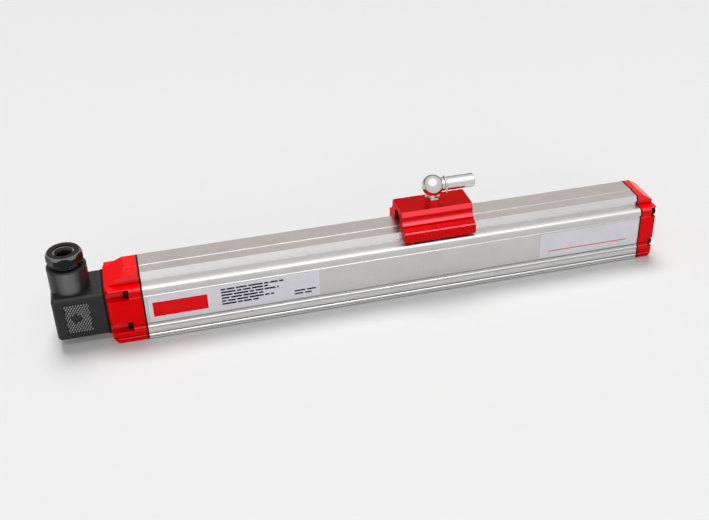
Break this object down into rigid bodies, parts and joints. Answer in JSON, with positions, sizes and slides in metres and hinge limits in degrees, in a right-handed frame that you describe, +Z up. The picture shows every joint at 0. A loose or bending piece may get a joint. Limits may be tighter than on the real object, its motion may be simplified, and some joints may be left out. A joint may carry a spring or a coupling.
{
  "type": "magnetostrictive position sensor",
  "caption": "Linear position sensor in an aluminium rail housing with a magnet slider, ball joint, end caps and an angled cable plug.",
  "frame": {"origin": "middle of the extrusion's flat bottom face", "axes": "+X along the extrusion away from the plug, -Y towards the label side, +Z up towards the slider"},
  "size_m": [0.361, 0.036, 0.0686],
  "materials": {
    "extrusion": "satin anodised",
    "gasket": "matt black",
    "red_cap": "glossy red moulding",
    "black_screw": "black oxide",
    "board": "solder resist",
    "component": "moulded",
    "waveguide": "drawn wire",
    "waveguide_sleeve": "drawn tube",
    "carrier": "natural",
    "socket": "moulded black",
    "contact": "tinned",
    "lead": "insulated",
    "plug": "moulded dark grey",
    "gland": "glossy black",
    "gland_ring": "pale plastic",
    "red_slider": "red anodised",
    "magnet": "ferrite",
    "bright_steel": "zinc plated",
    "label": "silver film"
  },
  "bodies": {
    "housing": {"profile": "extrusion", "connector_gasket": "gasket", "plain_gasket": "gasket", "connector_end_cap": "red_cap", "plain_end_cap": "red_cap", "connector_cap_screws": "black_screw", "plain_cap_screws": "black_screw", "circuit_board": "board", "board_components": "component", "waveguide_wire": "waveguide", "waveguide_tube": "waveguide_sleeve", "waveguide_carrier": "carrier", "pickup_head": "component", "waveguide_damper": "gasket", "socket_insert": "socket", "contact_blades": "contact", "inner_leads": "lead", "plug_seal": "gasket", "plug_housing": "plug", "terminal_block": "socket", "plug_fixing_screw": "bright_steel", "plug_screw_ring": "gasket", "gland_nut": "gland", "gland_washer": "gland_ring", "gland_grommet": "gasket", "long_label": "label", "short_label": "label"},
    "carriage": {"slider_body": "red_slider", "front_glide": "carrier", "rear_glide": "carrier", "position_magnets": "magnet", "ball_stud": "bright_steel"},
    "rod_end": {"ball_cup": "bright_steel", "safety_clip": "bright_steel"}
  },
  "joints": [
    {"name": "slider_travel", "type": "slide", "parent": "housing", "child": "carriage", "axis": [1, 0, 0], "range_m": [-0.151, 0.105]},
    {"name": "rod_end_swivel", "type": "hinge", "parent": "carriage", "child": "rod_end", "pos_m": [0.023, 0, 0.0622], "axis": [0, 0, 1], "continuous": true}
  ]
}
